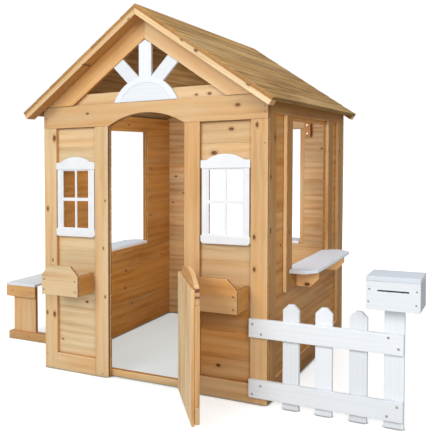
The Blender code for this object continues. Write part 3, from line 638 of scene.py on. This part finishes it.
# the right rake's bright tone is painted light against the rafters' shadow, and the left rake's warmer tone
# is painted shade
for side, sign, tone in (("left", -1, (1.08, 0.62, 0.9)), ("right", 1, (1.13, 0.33, 0.85))):
    split = MID + sign * GAP / 2
    half = [(split, APEX_OUT - GAP / 2 * TAN), (MID + sign * (APEX_OUT - FOOT) / TAN, FOOT),
            (MID + sign * (APEX_IN - FOOT) / TAN, FOOT), (split, APEX_IN - GAP / 2 * TAN)]
    one_plate(f"gable_{side}_rake", f"gable_board_{side}", "y", half, *RAKE_Y, (sign, -TAN), tone=tone,
              bevel=0.0013)
tie = [(MID + sign * (APEX_OUT - z - 0.001) / TAN, z)
       for sign, z in ((-1, FOOT), (1, FOOT), (1, TIE_TOP), (-1, TIE_TOP))]
one_plate("gable_tie", "gable_tie_board", "y", tie, RAKE_Y[1] + GAP, wall_in, "x", tone=(1.02, 0.38, 0.9),
          bevel=0.0013, knots=[(0.759, 1.084, 0.005), (0.706, 1.083, 0.004)])

sun = Piece("gable_sun", WHITE, replaces=["gable_sunburst"])
SUN_Z, SUN_R, RIM_R, DISC_R = 1.012, 0.152, 0.129, 0.1262
RAY_HALF, SIDE_RAY_HALF, RAY_Z, RAY_TIP = 0.027, 0.025, 1.150, 0.0036


def sun_arc(r, n, back=False):
    a = math.degrees(math.asin((FOOT - SUN_Z) / r))
    return arc(MID, SUN_Z, r, 180 - a, a, n) if back else arc(MID, SUN_Z, r, a, 180 - a, n)


plate(sun, "y", sun_arc(SUN_R - 0.0015, 48), -0.0012, 0.0095, "x", bevel=0.0006)
plate(sun, "y", sun_arc(DISC_R, 48), -0.0040, -0.0008, "x", bevel=0.0010)
plate(sun, "y", sun_arc(SUN_R, 48) + sun_arc(RIM_R, 48, back=True), -0.0036, 0.0092, "x", bevel=0.0012)
# the middle ray stops just under the rakes, in a blunt point
in_z = APEX_IN - (RAY_HALF + 0.0005) * TAN
mid_ray = [(MID + a, z) for a, z in (
    (-RAY_HALF, RAY_Z), (RAY_HALF, RAY_Z), (RAY_HALF, in_z - GAP * 2), (0.014, in_z + 0.0070),
    (0.0, APEX_IN - RAY_TIP), (-0.014, in_z + 0.0070), (-RAY_HALF, in_z - GAP * 2))]
plate(sun, "y", mid_ray, -0.0030, 0.0090, "z", bevel=0.0013)
for sign in (-1, 1):
    along, across = Vector((sign, 1.0)).normalized(), Vector((-sign, 1.0)).normalized()
    ray = []
    for edge in (-1, 1):
        start = Vector((MID, 1.100)) + across * edge * SIDE_RAY_HALF
        room = APEX_IN - GAP * 3 - sign * TAN * (start.x - MID) - start.y
        reach = room / (along.y + sign * TAN * along.x)
        ray.append((start + along * 0.060, start + along * reach))
    points = [tuple(p) for p in (ray[0][0], ray[0][1], ray[1][1], ray[1][0])]
    plate(sun, "y", points, -0.0026, 0.0088, (sign, 1.0), bevel=0.0013)
sun.make()

piece = Piece("back_gable_boards", CEDAR, replaces=["back_gable_frame"], tone=SHADY)
for sign in (-1, 1):
    half = [(MID, APEX_OUT - 0.0006), (MID + sign * (APEX_OUT - FOOT - 0.0006) / TAN, FOOT),
            (MID + sign * (APEX_IN - FOOT) / TAN, FOOT), (MID, APEX_IN)]
    plate(piece, "y", half, WALL_D - BATTEN, WALL_D, (sign, -TAN), bevel=0.0013)
inner = (APEX_IN - FOOT) / TAN
slant = (TIE_TOP - FOOT) / TAN
tie = [(MID - inner, FOOT), (MID + inner, FOOT), (MID + inner - slant, TIE_TOP),
       (MID - inner + slant, TIE_TOP)]
plate(piece, "y", tie, WALL_D - BATTEN + 0.0006, WALL_D - 0.0006, "x", bevel=0.0013)
piece.make()

# ---- roof
down, out = Vector((COS, -SIN)), Vector((SIN, COS))
length = EAVE_OUT / COS
course = length / ROOF_BOARDS
rafter_top, rafter_low = ROOF_T + GAP, ROOF_T + GAP + RAFTER_T
# the right front rafter's bright tone is painted light against the shadow under the roof edge, the left front
# rafter's narrow faces are darker and warmer for painted shade, and the back rafters take SHADY
for side, sign, tone, front_knots in (
        ("left", -1, (1.0, 0.52, 1.1, 0.66, 0.70), [(0.466, 1.366, 0.0028), (0.258, 1.219, 0.003)]),
        ("right", 1, (1.18, 0.08, 0.95, 0.95, 0.80),
         [(0.691, 1.270, 0.006), (0.746, 1.226, 0.0055), (0.944, 1.097, 0.006)])):
    piece = Piece(f"roof_{side}_boards", ROOF, replaces=[f"roof_slope_{side}"])
    for i in range(ROOF_BOARDS):
        lift = 0.0 if i == 0 else LAP
        start = down * (i * course) + (Vector((GAP / 2, -GAP / 2 * TAN)) if i == 0 else Vector((0, 0)))
        under = out * ROOF_T
        foot_in = Vector((GAP / 2, -ROOF_T / COS - GAP / 2 * TAN)) if i == 0 else start - under
        shape = [start - out * lift, down * (i + 1) * course, down * (i + 1) * course - under, foot_in]
        outline = [(MID + sign * p.x, RIDGE_Z + p.y) for p in shape]
        draw = random.Random(f"roof{side}{i}")
        # the boards' narrow faces and ends take a darker, warmer tone: painted shade along the courses
        plate(piece, "y", outline, ROOF_Y0, ROOF_Y1, "y", bevel=0.0010, steps=1,
              tone=(draw.uniform(0.56, 0.74), draw.uniform(0.50, 1.0), 2.2, 0.75, 0.2),
              wide=(sign * SIN, COS))
    piece.make()
    head = Vector((GAP / 2, -GAP / 2 * TAN))
    shape = [head - Vector((0, rafter_top / COS)), down * length - out * rafter_top,
             down * length - out * rafter_low, head - Vector((0, rafter_low / COS))]
    outline = [(MID + sign * p.x, RIDGE_Z + p.y) for p in shape]
    for tag, y0, rafter_tone, knots in (("front", ROOF_Y0, tone, front_knots),
                                        ("back", ROOF_Y1 - RAFTER_W, SHADY, ())):
        one_plate(f"rafter_{tag}_{side}", f"roof_rafter_{tag}_{side}", "y", outline, y0, y0 + RAFTER_W,
                  (sign, -TAN), tone=rafter_tone, bevel=0.0013, knots=knots)

# ---- side and back walls
side_y0, side_y1 = wall_in + GAP, WALL_D - BATTEN - GAP - BOARD - GAP


def lattice(piece, axis, u0, u1, s0, s1, a0, a1, lo, hi, rail, top_board, knots, tones):
    """Corner battens, rails, trimmers and the ledge of one wall, each a board of its own.
    u is the wall's whole span, s the span between its corner battens and a the opening's."""
    def one(name, b, z, along):
        plate(piece, axis, rect(*b, *z), lo, hi, along, bevel=0.0018, knots=knots.get(name, ()),
              tone=tones.get(name))

    level = "y" if axis == "x" else "x"
    full = rail if top_board else WALL_TOP
    one("first", (u0, s0), (0.0, full), "z")
    one("last", (s1, u1), (0.0, full), "z")
    one("foot", (s0, s1), (0.0, RAIL_H), level)
    one("up_first", (a0 - UPRIGHT, a0), (LEDGE_Z, rail), "z")
    one("up_last", (a1, a1 + UPRIGHT), (LEDGE_Z, rail), "z")
    one("ledge", (a0, a1), (LEDGE_Z, OPEN_Z0 - GAP), level)
    if top_board:
        plate(piece, axis, top_board, lo, hi, level, bevel=0.0018)
    else:
        one("head", (s0, s1), (rail, WALL_TOP), level)


# both side walls have darker, warmer tones than the front, painted shade; the right wall's lower rows are
# darker again; the right wall's battens have their narrow faces brightened, painted light where it falls on
# them
SIDES = {
    "right": dict(
        sign=1, face=WALL_W, tone=SHADY, board_tone=(0.88, 1.0, 2.0), low_tone=(0.78, 1.0, 2.2),
        batten_tones={"up_first": (0.66, 0.98, 1.8, 2.25, -0.70), "up_last": (0.56, 1.0, 1.8, 1.47, -0.40),
                      "last": (0.61, 1.0, 1.8, 1.41, -0.42)},
        batten_knots={"first": [(0.068, 0.923, 0.0095), (0.030, 0.785, 0.006), (0.030, 0.600, 0.0065)],
                      "up_first": [(0.218, 0.570, 0.0065)],
                      "up_last": [(0.735, 0.872, 0.006)],
                      "last": [(0.905, 0.872, 0.006), (0.900, 0.729, 0.0035), (0.905, 0.565, 0.0055)]},
        board_knots=[(0.170, 0.529, 0.0045)]),
    "left": dict(
        sign=-1, face=0.0, tone=(0.82, 1.0, 1.1), board_tone=(0.81, 1.0, 1.8), low_tone=None,
        batten_tones={}, batten_knots={"first": [(0.05, 0.7, 0.006)]},
        board_knots=[(0.445, 0.399, 0.0035), (0.661, 0.368, 0.0035), (0.869, 0.337, 0.0045),
                     (0.538, 0.304, 0.006), (0.528, 0.222, 0.0055), (0.589, 0.136, 0.005),
                     (0.76, 0.560, 0.004), (0.565, 1.024, 0.005), (0.765, 0.803, 0.004)]),
}
for side, wall in SIDES.items():
    sign, face = wall["sign"], wall["face"]
    depth = sorted((face, face - sign * BATTEN))
    piece = Piece(f"{side}_wall_battens", CEDAR, replaces=[f"{side}_wall_frame"], tone=wall["tone"])
    lattice(piece, "x", side_y0, side_y1, side_y0 + STILE - 0.006, side_y1 - STILE + 0.003, OPEN_Y0, OPEN_Y1,
            *depth, OPEN_Z1, None, wall["batten_knots"], wall["batten_tones"])
    piece.make()
    skin_x = sorted((face - sign * (BATTEN + GAP), face - sign * (BATTEN + GAP + BOARD)))
    piece = Piece(f"{side}_wall_boards", CEDAR, replaces=[f"{side}_wall_siding"], tone=wall["board_tone"])
    siding(piece, "x", side_y0, side_y1, 0.002, WALL_TOP - 0.001, *skin_x,
           [(OPEN_Y0 - GAP, OPEN_Y1 + GAP, OPEN_Z0 - GAP, 0.992)], knots=wall["board_knots"], wild=0.35,
           low_tone=wall["low_tone"])
    piece.make()

piece = Piece("back_wall_battens", CEDAR, replaces=["back_wall_frame"], tone=(0.95, 0.45, 1.0))
back_head = HEADER_Z + 0.002
lattice(piece, "y", 0.0, WALL_W, STILE, WALL_W - STILE, BACK_X0, BACK_X1, WALL_D - BATTEN, WALL_D,
        back_head, [(0.0, back_head), (WALL_W, back_head), *under_roof],
        {"last": [(0.95, 0.6, 0.006)], "first": [(0.03, 0.3, 0.005)]}, {})
piece.make()
back_out = WALL_D - BATTEN - GAP
piece = Piece("back_wall_boards", CEDAR, replaces=["back_wall_siding"], tone=(1.0, 0.40, 1.8))
siding(piece, "y", 0.0, WALL_W, 0.002, 1.047, back_out - BOARD, back_out,
       [(BACK_X0 - 0.024, BACK_X1 + 0.024, OPEN_Z0 - GAP, back_head)],
       knots=[(0.049, 0.612, 0.004), (0.114, 0.665, 0.0035), (0.887, 0.887, 0.004)], wild=0.4)
piece.make()
one_board("back_wall_cleat_block", "back_wall_cleat", "z", tone=(0.92, 0.9, 1.0), bevel=0.0016)
cleat_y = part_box("back_wall_cleat")[0].y - ORIGIN.y
screws("cleat_screws", ZINC, [(0.819, 1.003), (0.819, 0.962)], cleat_y, radius=0.0048)


def counter(name, node, axis, a0, a1, wall, inner, edge):
    """A shelf through the opening, wider outside, with clipped outer corners."""
    e0, e1 = a0 - 0.037, a1 + 0.025
    side, c = math.copysign(1.0, edge - wall), 0.040
    face = wall + side * GAP
    shape = [(inner, a0 + GAP), (face, a0 + GAP), (face, e0), (edge - side * c, e0), (edge, e0 + c),
             (edge, e1 - c), (edge - side * c, e1), (face, e1), (face, a1 - GAP), (inner, a1 - GAP)]
    if axis == "y":
        shape = [(b, a) for a, b in shape]
    # the tone paints light and shade: the top takes the bluish shade tint, and the edges are brighter and
    # whiter, a painted highlight
    one_plate(name, node, "z", shape, OPEN_Z0, OPEN_Z0 + 0.013, "y" if axis == "x" else "x", material=WHITE,
              tone=(1.01, 1.0, 1.0, 1.10, -1.0), bevel=0.0020, steps=3)


BRACKET_Z, BRACKET_FOOT, BRACKET_REACH = 0.355, 0.056, 0.088
for side, wall in SIDES.items():
    sign, face = wall["sign"], wall["face"]
    counter(f"{side}_counter_board", f"{side}_counter", "x", OPEN_Y0, OPEN_Y1, face,
            face - sign * (BATTEN + GAP + BOARD), face + sign * 0.101)
    slant = BRACKET_REACH - BRACKET_FOOT
    shape = [(face + sign * (GAP + reach), z) for reach, z in (
        (0.0, BRACKET_Z), (BRACKET_FOOT, BRACKET_Z), (BRACKET_REACH, BRACKET_Z + slant),
        (BRACKET_REACH, OPEN_Z0 - GAP), (0.0, OPEN_Z0 - GAP))]
    for tag, y in (("front", 0.300), ("back", 0.6635)):
        # the brackets' bright tone is painted light against the counter's shadow
        one_plate(f"{side}_bracket_{tag}_board", f"{side}_bracket_{tag}", "y", shape, y, y + BATTEN, "x",
                  tone=(1.62, 0.50, 1.0), bevel=0.0015,
                  knots=[(1.031, 0.364, 0.007)] if (side, tag) == ("right", "front") else ())
counter("back_counter_board", "back_counter", "y", BACK_X0, BACK_X1, WALL_D, back_out - BOARD, WALL_D + 0.094)

# ---- door
centre = Vector((PIN[0], PIN[1], 0.0))
swung = Matrix.Translation(centre) @ Matrix.Rotation(SWING, 4, "Z") @ Matrix.Translation(-centre)
X0, X1, DZ0, DZ1, DOOR_TOP = 0.333, 0.653, 0.022, 0.449, 0.491
DOOR_STILE, LOW_RAIL_TOP, ARCH_FOOT, DOOR_BOARDS = 0.056, 0.080, 0.400, 4
FRAME_TONE, LATCH_TONE, PANEL_TONE = (
    (0.94, 0.60, 1.3, 1.12, -0.18), (0.94, 0.60, 2.0, 0.92, 0.12), (1.18, 0.20, 1.8, 0.94, 0.38))
ON_DOOR = dict(body="door", matrix=swung)
width = (X1 - X0) / DOOR_BOARDS
piece = Piece("door_boards_panel", CEDAR, replaces=["door_boards"], tone=PANEL_TONE, **ON_DOOR)
for i in range(DOOR_BOARDS):
    bar(piece, (X0 + i * width, X0 + (i + 1) * width), (skin[0] + 0.0008, skin[1]), (DZ0, DZ1), "z",
        bevel=0.0015, knots=[(0.50, 0.26, 0.003)] if i == 2 else ())
piece.make()
one_plate("door_arch_rail", "door_top_rail", "y",
          [(X0, ARCH_FOOT), (X1, ARCH_FOOT), *crown(X1, X0, DZ1, DOOR_TOP, 32)], 0.0, BATTEN, "x",
          tone=FRAME_TONE, bevel=0.0018, knots=[(0.337, 0.446, 0.006), (0.354, 0.470, 0.005),
                                                (0.338, 0.425, 0.0045)], **ON_DOOR)
piece = Piece("door_low_rail", CEDAR, replaces=["door_bottom_rail"], tone=FRAME_TONE, **ON_DOOR)
bar(piece, (X0, X1), (0.0, BATTEN), (DZ0 + 0.004, LOW_RAIL_TOP), "x", bevel=0.0018)
piece.make()
for tag, x0, tone in (("latch", X0, LATCH_TONE), ("hinge", X1 - DOOR_STILE, FRAME_TONE)):
    piece = Piece(f"door_{tag}_upright", CEDAR, replaces=[f"door_{tag}_stile"], tone=tone, **ON_DOOR)
    bar(piece, (x0, x0 + DOOR_STILE), (0.0, BATTEN), (LOW_RAIL_TOP + GAP, ARCH_FOOT - GAP), "z",
        bevel=0.0018)
    piece.make()
screws("door_frame_screws", ZINC,
       [(x, z) for x in (X0 + 0.016, X0 + 0.042, X1 - 0.042, X1 - 0.016) for z in (0.040, 0.066, 0.416)],
       0.0, radius=0.0028, **ON_DOOR)

for level in ("low", "high"):
    for kind in ("fixed", "moving"):
        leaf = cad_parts[f"hinge_{level}_{kind}_leaf"]
        leaf.data.materials.clear()
        leaf.data.materials.append(ZINC)
LEAF_T, LEAF_SCREW_X, LEAF_SCREW_Z, HINGE_Z = 0.0015, 0.019, 0.014, (0.115, 0.345)
leaf_screw_z = [z + dz for z in HINGE_Z for dz in (-LEAF_SCREW_Z, LEAF_SCREW_Z)]
screws("hinge_fixed_screws", ZINC, [(PIN[0] + LEAF_SCREW_X, z) for z in leaf_screw_z], -GAP - LEAF_T,
       radius=0.0024)
screws("hinge_moving_screws", ZINC, [(PIN[0] - LEAF_SCREW_X, z) for z in leaf_screw_z], -GAP - LEAF_T,
       radius=0.0024, **ON_DOOR)

# ---- fence and letter box
WHITE_PIECE = dict(material=WHITE, tone=(1.0, 0.0, 0.0))
PICKETS, PICKET_CLIP = 3, 0.019
for tag in ("low", "high"):
    one_board(f"fence_{tag}_rail_board", f"fence_rail_{tag}", "x", bevel=0.0018, **WHITE_PIECE)
for i in range(1, PICKETS + 1):
    lo, hi = (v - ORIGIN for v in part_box(f"fence_picket_{i}"))
    shape = [(lo.x, 0.0), (hi.x, 0.0), (hi.x, hi.z - PICKET_CLIP), (hi.x - PICKET_CLIP, hi.z),
             (lo.x + PICKET_CLIP, hi.z), (lo.x, hi.z - PICKET_CLIP)]
    one_plate(f"fence_picket_{i}_board", f"fence_picket_{i}", "y", shape, 0.0, BATTEN, "z", bevel=0.0018,
              **WHITE_PIECE)
one_board("fence_post_board", "fence_post", "z", bevel=0.0018, **WHITE_PIECE)
screws("fence_screws", BRASSY,
       [(0.939, 0.282), (0.971, 0.250), (0.970, 0.072), (0.939, 0.040), (1.396, 0.288), (1.427, 0.256),
        (1.424, 0.075), (1.394, 0.042)], -BATTEN, radius=0.0040)

mx0, mx1, my0, my1, mz0, mz1, w = 1.334, 1.4955, -0.055, 0.060, 0.382, 0.4705, 0.010
SLOT_X0, SLOT_X1, SLOT_Z, SLOT_R = 1.3685, 1.463, 0.4415, 0.0027
piece = Piece("letter_box_boards", replaces=["letter_box"], **WHITE_PIECE)
slot = arc(SLOT_X0 + SLOT_R, SLOT_Z, SLOT_R, 90, 270, 8) + arc(SLOT_X1 - SLOT_R, SLOT_Z, SLOT_R, 270, 450, 8)
plate(piece, "y", rect(mx0, mx1, mz0, mz1), my0, my0 + w, "x", holes=[slot], bevel=0.0009)
plate(piece, "y", rect(mx0 + w, mx1 - w, mz0, mz1), my1 - w, my1, "x", bevel=0.0012)
for a in (mx0, mx1 - w):
    # the side boards take a darker, cooler tone: painted shade
    bar(piece, (a, a + w), (my0 + w + 0.0002, my1), (mz0, mz1), "y", bevel=0.0012, tone=(0.67, 1.0, 1.0))
bar(piece, (mx0 + w, mx1 - w), (my0 + w, my1 - w), (mz0, mz0 + w), "x", bevel=0.0006)
piece.make()
# the lid takes a darker, cooler tone than the box's front: painted shade
one_board("letter_box_lid_board", "letter_box_lid", "x", material=WHITE, body="letter_lid",
          tone=(0.91, 0.7, 1.0), bevel=0.0022, steps=3)
screws("letter_box_screws", BRASSY, [(1.345, 0.445), (1.342, 0.406), (1.485, 0.446), (1.484, 0.405)], my0,
       radius=0.0030)

# ---- bench
one_board("bench_seat_board", "bench_seat", "y", bevel=0.0022, steps=3, **WHITE_PIECE)
BENCH_Y0, BENCH_Y1 = 0.248, 0.728
APRON_T, LEG_T, FOOT_T, FOOT_TOP = 0.018, 0.034, 0.038, 0.035
APRON_X, LEG_X, FOOT_X = (-0.4725, -0.2915), (-0.441, -0.305), (-0.457, -GAP)
APRON_Z = (0.204, 0.2572 - GAP)
for tag, sign, y, leg_tone, apron_tone, foot_tone in (
        ("front", 1, BENCH_Y0, (1.03, 0.46, 1.0), (0.97, 0.60, 1.1), (0.86, 0.60, 1.3, 1.0, 0.0)),
        ("back", -1, BENCH_Y1, SHADY, SHADY, SHADY)):
    piece = Piece(f"bench_{tag}_end", CEDAR, replaces=[f"bench_end_{tag}"], tone=leg_tone)
    for xs, thick, zs, along, tone in (
            (APRON_X, (0.0, APRON_T), APRON_Z, "x", apron_tone),
            (LEG_X, (APRON_T + 0.0001, LEG_T), (FOOT_TOP, 0.2562), "z", leg_tone),
            (FOOT_X, (0.0, FOOT_T), (0.0, FOOT_TOP - 0.0001), "x", foot_tone)):
        bar(piece, xs, sorted(y + sign * t for t in thick), zs, along, bevel=0.0016, tone=tone)
    piece.make()
screws("bench_screws", DULL,
       [(-0.436, 0.231), (-0.322, 0.231), (-0.420, 0.0175), (-0.330, 0.0175), (-0.030, 0.0175)], BENCH_Y0,
       radius=0.0032)

# ---- floor, light and camera
def floor_paint():
    """Pale studio floor, which glows for the camera more with distance from the house. Inside the house it is
    darker, bluer and glows less, a painted shade, and it darkens where pieces stand on it, a painted contact
    shadow."""
    g = Graph("pale_floor")
    where = g.node("TexCoord").outputs["Object"]
    cloud = g.noise(where, scale=1.5, detail=2.0)
    tint = g.ramp(cloud, ((0.3, (0.60, 0.60, 0.60)), (0.7, (0.62, 0.62, 0.62))))
    indoor_shade = g.ramp(cloud, ((0.3, (0.36, 0.42, 0.43)), (0.7, (0.38, 0.44, 0.45))))
    east, north, _ = g.split(where)
    spans = ((east, ORIGIN.x + MID, MID), (north, ORIGIN.y + WALL_D / 2, WALL_D / 2))
    away = g.math("MAXIMUM", *[g.math("SUBTRACT", g.math("ABSOLUTE", g.math("SUBTRACT", value, centre)), half)
                               for value, centre, half in spans])
    # inside the house the floor is darker and bluer and glows less: painted shade
    tint = g.mix(g.remap(away, -0.03, 0.02), indoor_shade, tint)
    glow = g.math("ADD", g.remap(away, -0.03, 0.02, 0.40, 0.62), g.remap(away, 0.15, 2.2, 0.0, 0.35))
    # a painted contact shadow: ambient occlusion darkens the floor's colour and glow where pieces stand on it
    near = g.node("AmbientOcclusion", {"Distance": 0.022}, samples=8).outputs["AO"]
    near = g.remap(near, 0.50, 0.85, 0.15, 1.0)
    tint = g.mix(near, (0.10, 0.11, 0.10), tint)
    seen = g.node("LightPath").outputs["Is Camera Ray"]
    g.shader.inputs["Emission Color"].default_value = (0.99, 1.0, 0.995, 1.0)
    g.put(g.shader.inputs["Emission Strength"], g.math("MULTIPLY", seen, g.math("MULTIPLY", glow, near)))
    return g.finish(tint, 0.8, g.noise(where, scale=40.0), 0.0001, Specular_IOR_Level=0.1)


mesh = bpy.data.meshes.new("studio_floor")
mesh.from_pydata([(x, y, 0.0) for x, y in rect(-40, 40, -40, 40)], [], [(0, 1, 2, 3)])
mesh.materials.append(floor_paint())
floor = put_in_scene("studio_floor", mesh)

SKY, BACKDROP = 0.35, 1.02              # strength for light rays, and for camera rays
world = bpy.data.worlds.new("studio")
bpy.context.scene.world = world
world.use_nodes = True
tree = world.node_tree
back = tree.nodes["Background"]
path = tree.nodes.new("ShaderNodeLightPath")
shade = tree.nodes.new("ShaderNodeMix")
shade.data_type = "RGBA"
for place, colour in ((6, (0.93, 0.975, 1.0, 1.0)), (7, (1.0, 1.0, 1.0, 1.0))):
    shade.inputs[place].default_value = colour
tree.links.new(path.outputs["Is Camera Ray"], shade.inputs[0])
tree.links.new(shade.outputs[2], back.inputs[0])
level = tree.nodes.new("ShaderNodeMapRange")
for place, strength in ((3, SKY), (4, BACKDROP)):
    level.inputs[place].default_value = strength
tree.links.new(path.outputs["Is Camera Ray"], level.inputs[0])
tree.links.new(level.outputs[0], back.inputs[1])


def softbox(name, place, target, size, watts, colour, glossy=True):
    light = bpy.data.lights.new(name, "AREA")
    light.shape, light.size, light.energy, light.color = "DISK", size, watts, colour
    obj = put_in_scene(name, light)
    obj.location = place
    obj.rotation_euler = (Vector(target) - Vector(place)).to_track_quat("-Z", "Y").to_euler()
    obj.visible_camera, obj.visible_glossy = False, glossy


DAY, COOL, WARM = (1.0, 0.995, 0.985), (0.98, 0.99, 1.0), (1.0, 0.98, 0.94)
softbox("left_front", (-1.03, -4.83, 3.0), (0.0, 0.0, 0.6), 2.6, 120.0, DAY)
softbox("right_front", (2.97, -3.8, 2.55), (0.0, 0.0, 0.6), 2.4, 86.0, DAY)
softbox("overhead", (1.3, 0.1, 4.3), (0.15, 0.1, 0.6), 2.4, 38.0, COOL)
softbox("behind", (0.2, 5.4, 2.0), (0.5, 0.9, 0.5), 2.6, 50.0, (1.0, 0.99, 0.97), glossy=False)
softbox("over_bench", (-1.7, -0.5, 3.4), (-0.85, 0.1, 0.3), 1.6, 25.0, COOL)
softbox("inside", (0.0, -0.20, 1.0), (0.0, 0.45, 0.45), 0.4, 3.4, WARM)

# the camera looks as the photo does, with the photo's slight lean of uprights as a skew
YAW, PITCH_DOWN, ROLL = (math.radians(angle) for angle in (26.5437, 1.8189, -1.1398))
SKEW, EYE, LENS, SENSOR, SHIFT = -0.022556, Vector((1.75246, -1.90954, 0.86107)), 49.978, 36.0, -0.0982
level_ahead = Vector((-math.sin(YAW), math.cos(YAW), 0.0))
ahead = level_ahead * math.cos(PITCH_DOWN) - AXES["z"] * math.sin(PITCH_DOWN)
right = Vector((math.cos(YAW), math.sin(YAW), 0.0))
up = right.cross(ahead)
right, up = right * math.cos(ROLL) + up * math.sin(ROLL), up * math.cos(ROLL) - right * math.sin(ROLL)
camera = put_in_scene("camera", bpy.data.cameras.new("camera"))
camera.data.lens, camera.data.sensor_width, camera.data.shift_y = LENS, SENSOR, SHIFT
holder = put_in_scene("camera_holder", None)
columns = (right, up + SKEW * right, -ahead, EYE + ORIGIN)
lens_matrix = Matrix([[c[i] for c in columns] for i in range(3)] + [[0, 0, 0, 1]])
camera.parent = holder
camera.matrix_parent_inverse = lens_matrix
bpy.context.scene.camera = camera
bpy.context.scene.view_settings.view_transform = "Standard"

bpy.context.view_layer.update()
